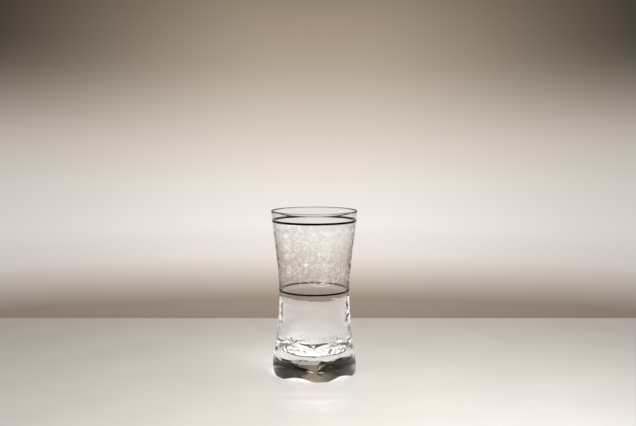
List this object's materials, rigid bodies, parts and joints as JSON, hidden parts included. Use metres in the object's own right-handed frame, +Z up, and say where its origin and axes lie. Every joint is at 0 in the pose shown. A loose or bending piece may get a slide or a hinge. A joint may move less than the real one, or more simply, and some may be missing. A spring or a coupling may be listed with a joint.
{
  "type": "tall tumbler",
  "caption": "Tall clear drinking glass with a thin flared bowl, a waist, a heavy lobed foot and dark fired metal bands under the lip and round the waist.",
  "frame": {"origin": "on the axis of the glass, at the height of the table that the foot stands on", "axes": "+Z up along the axis of the glass, -Y towards the viewer of the picture, +X to the viewer's right"},
  "size_m": [0.0738, 0.0738, 0.14],
  "materials": {
    "clear_glass": "clear, fire polished",
    "metal_lustre": "dark fired metal lustre"
  },
  "bodies": {
    "root": {"bowl": "clear_glass", "cased_foot": "clear_glass", "upper_band": "metal_lustre", "lower_band": "metal_lustre"}
  },
  "joints": []
}
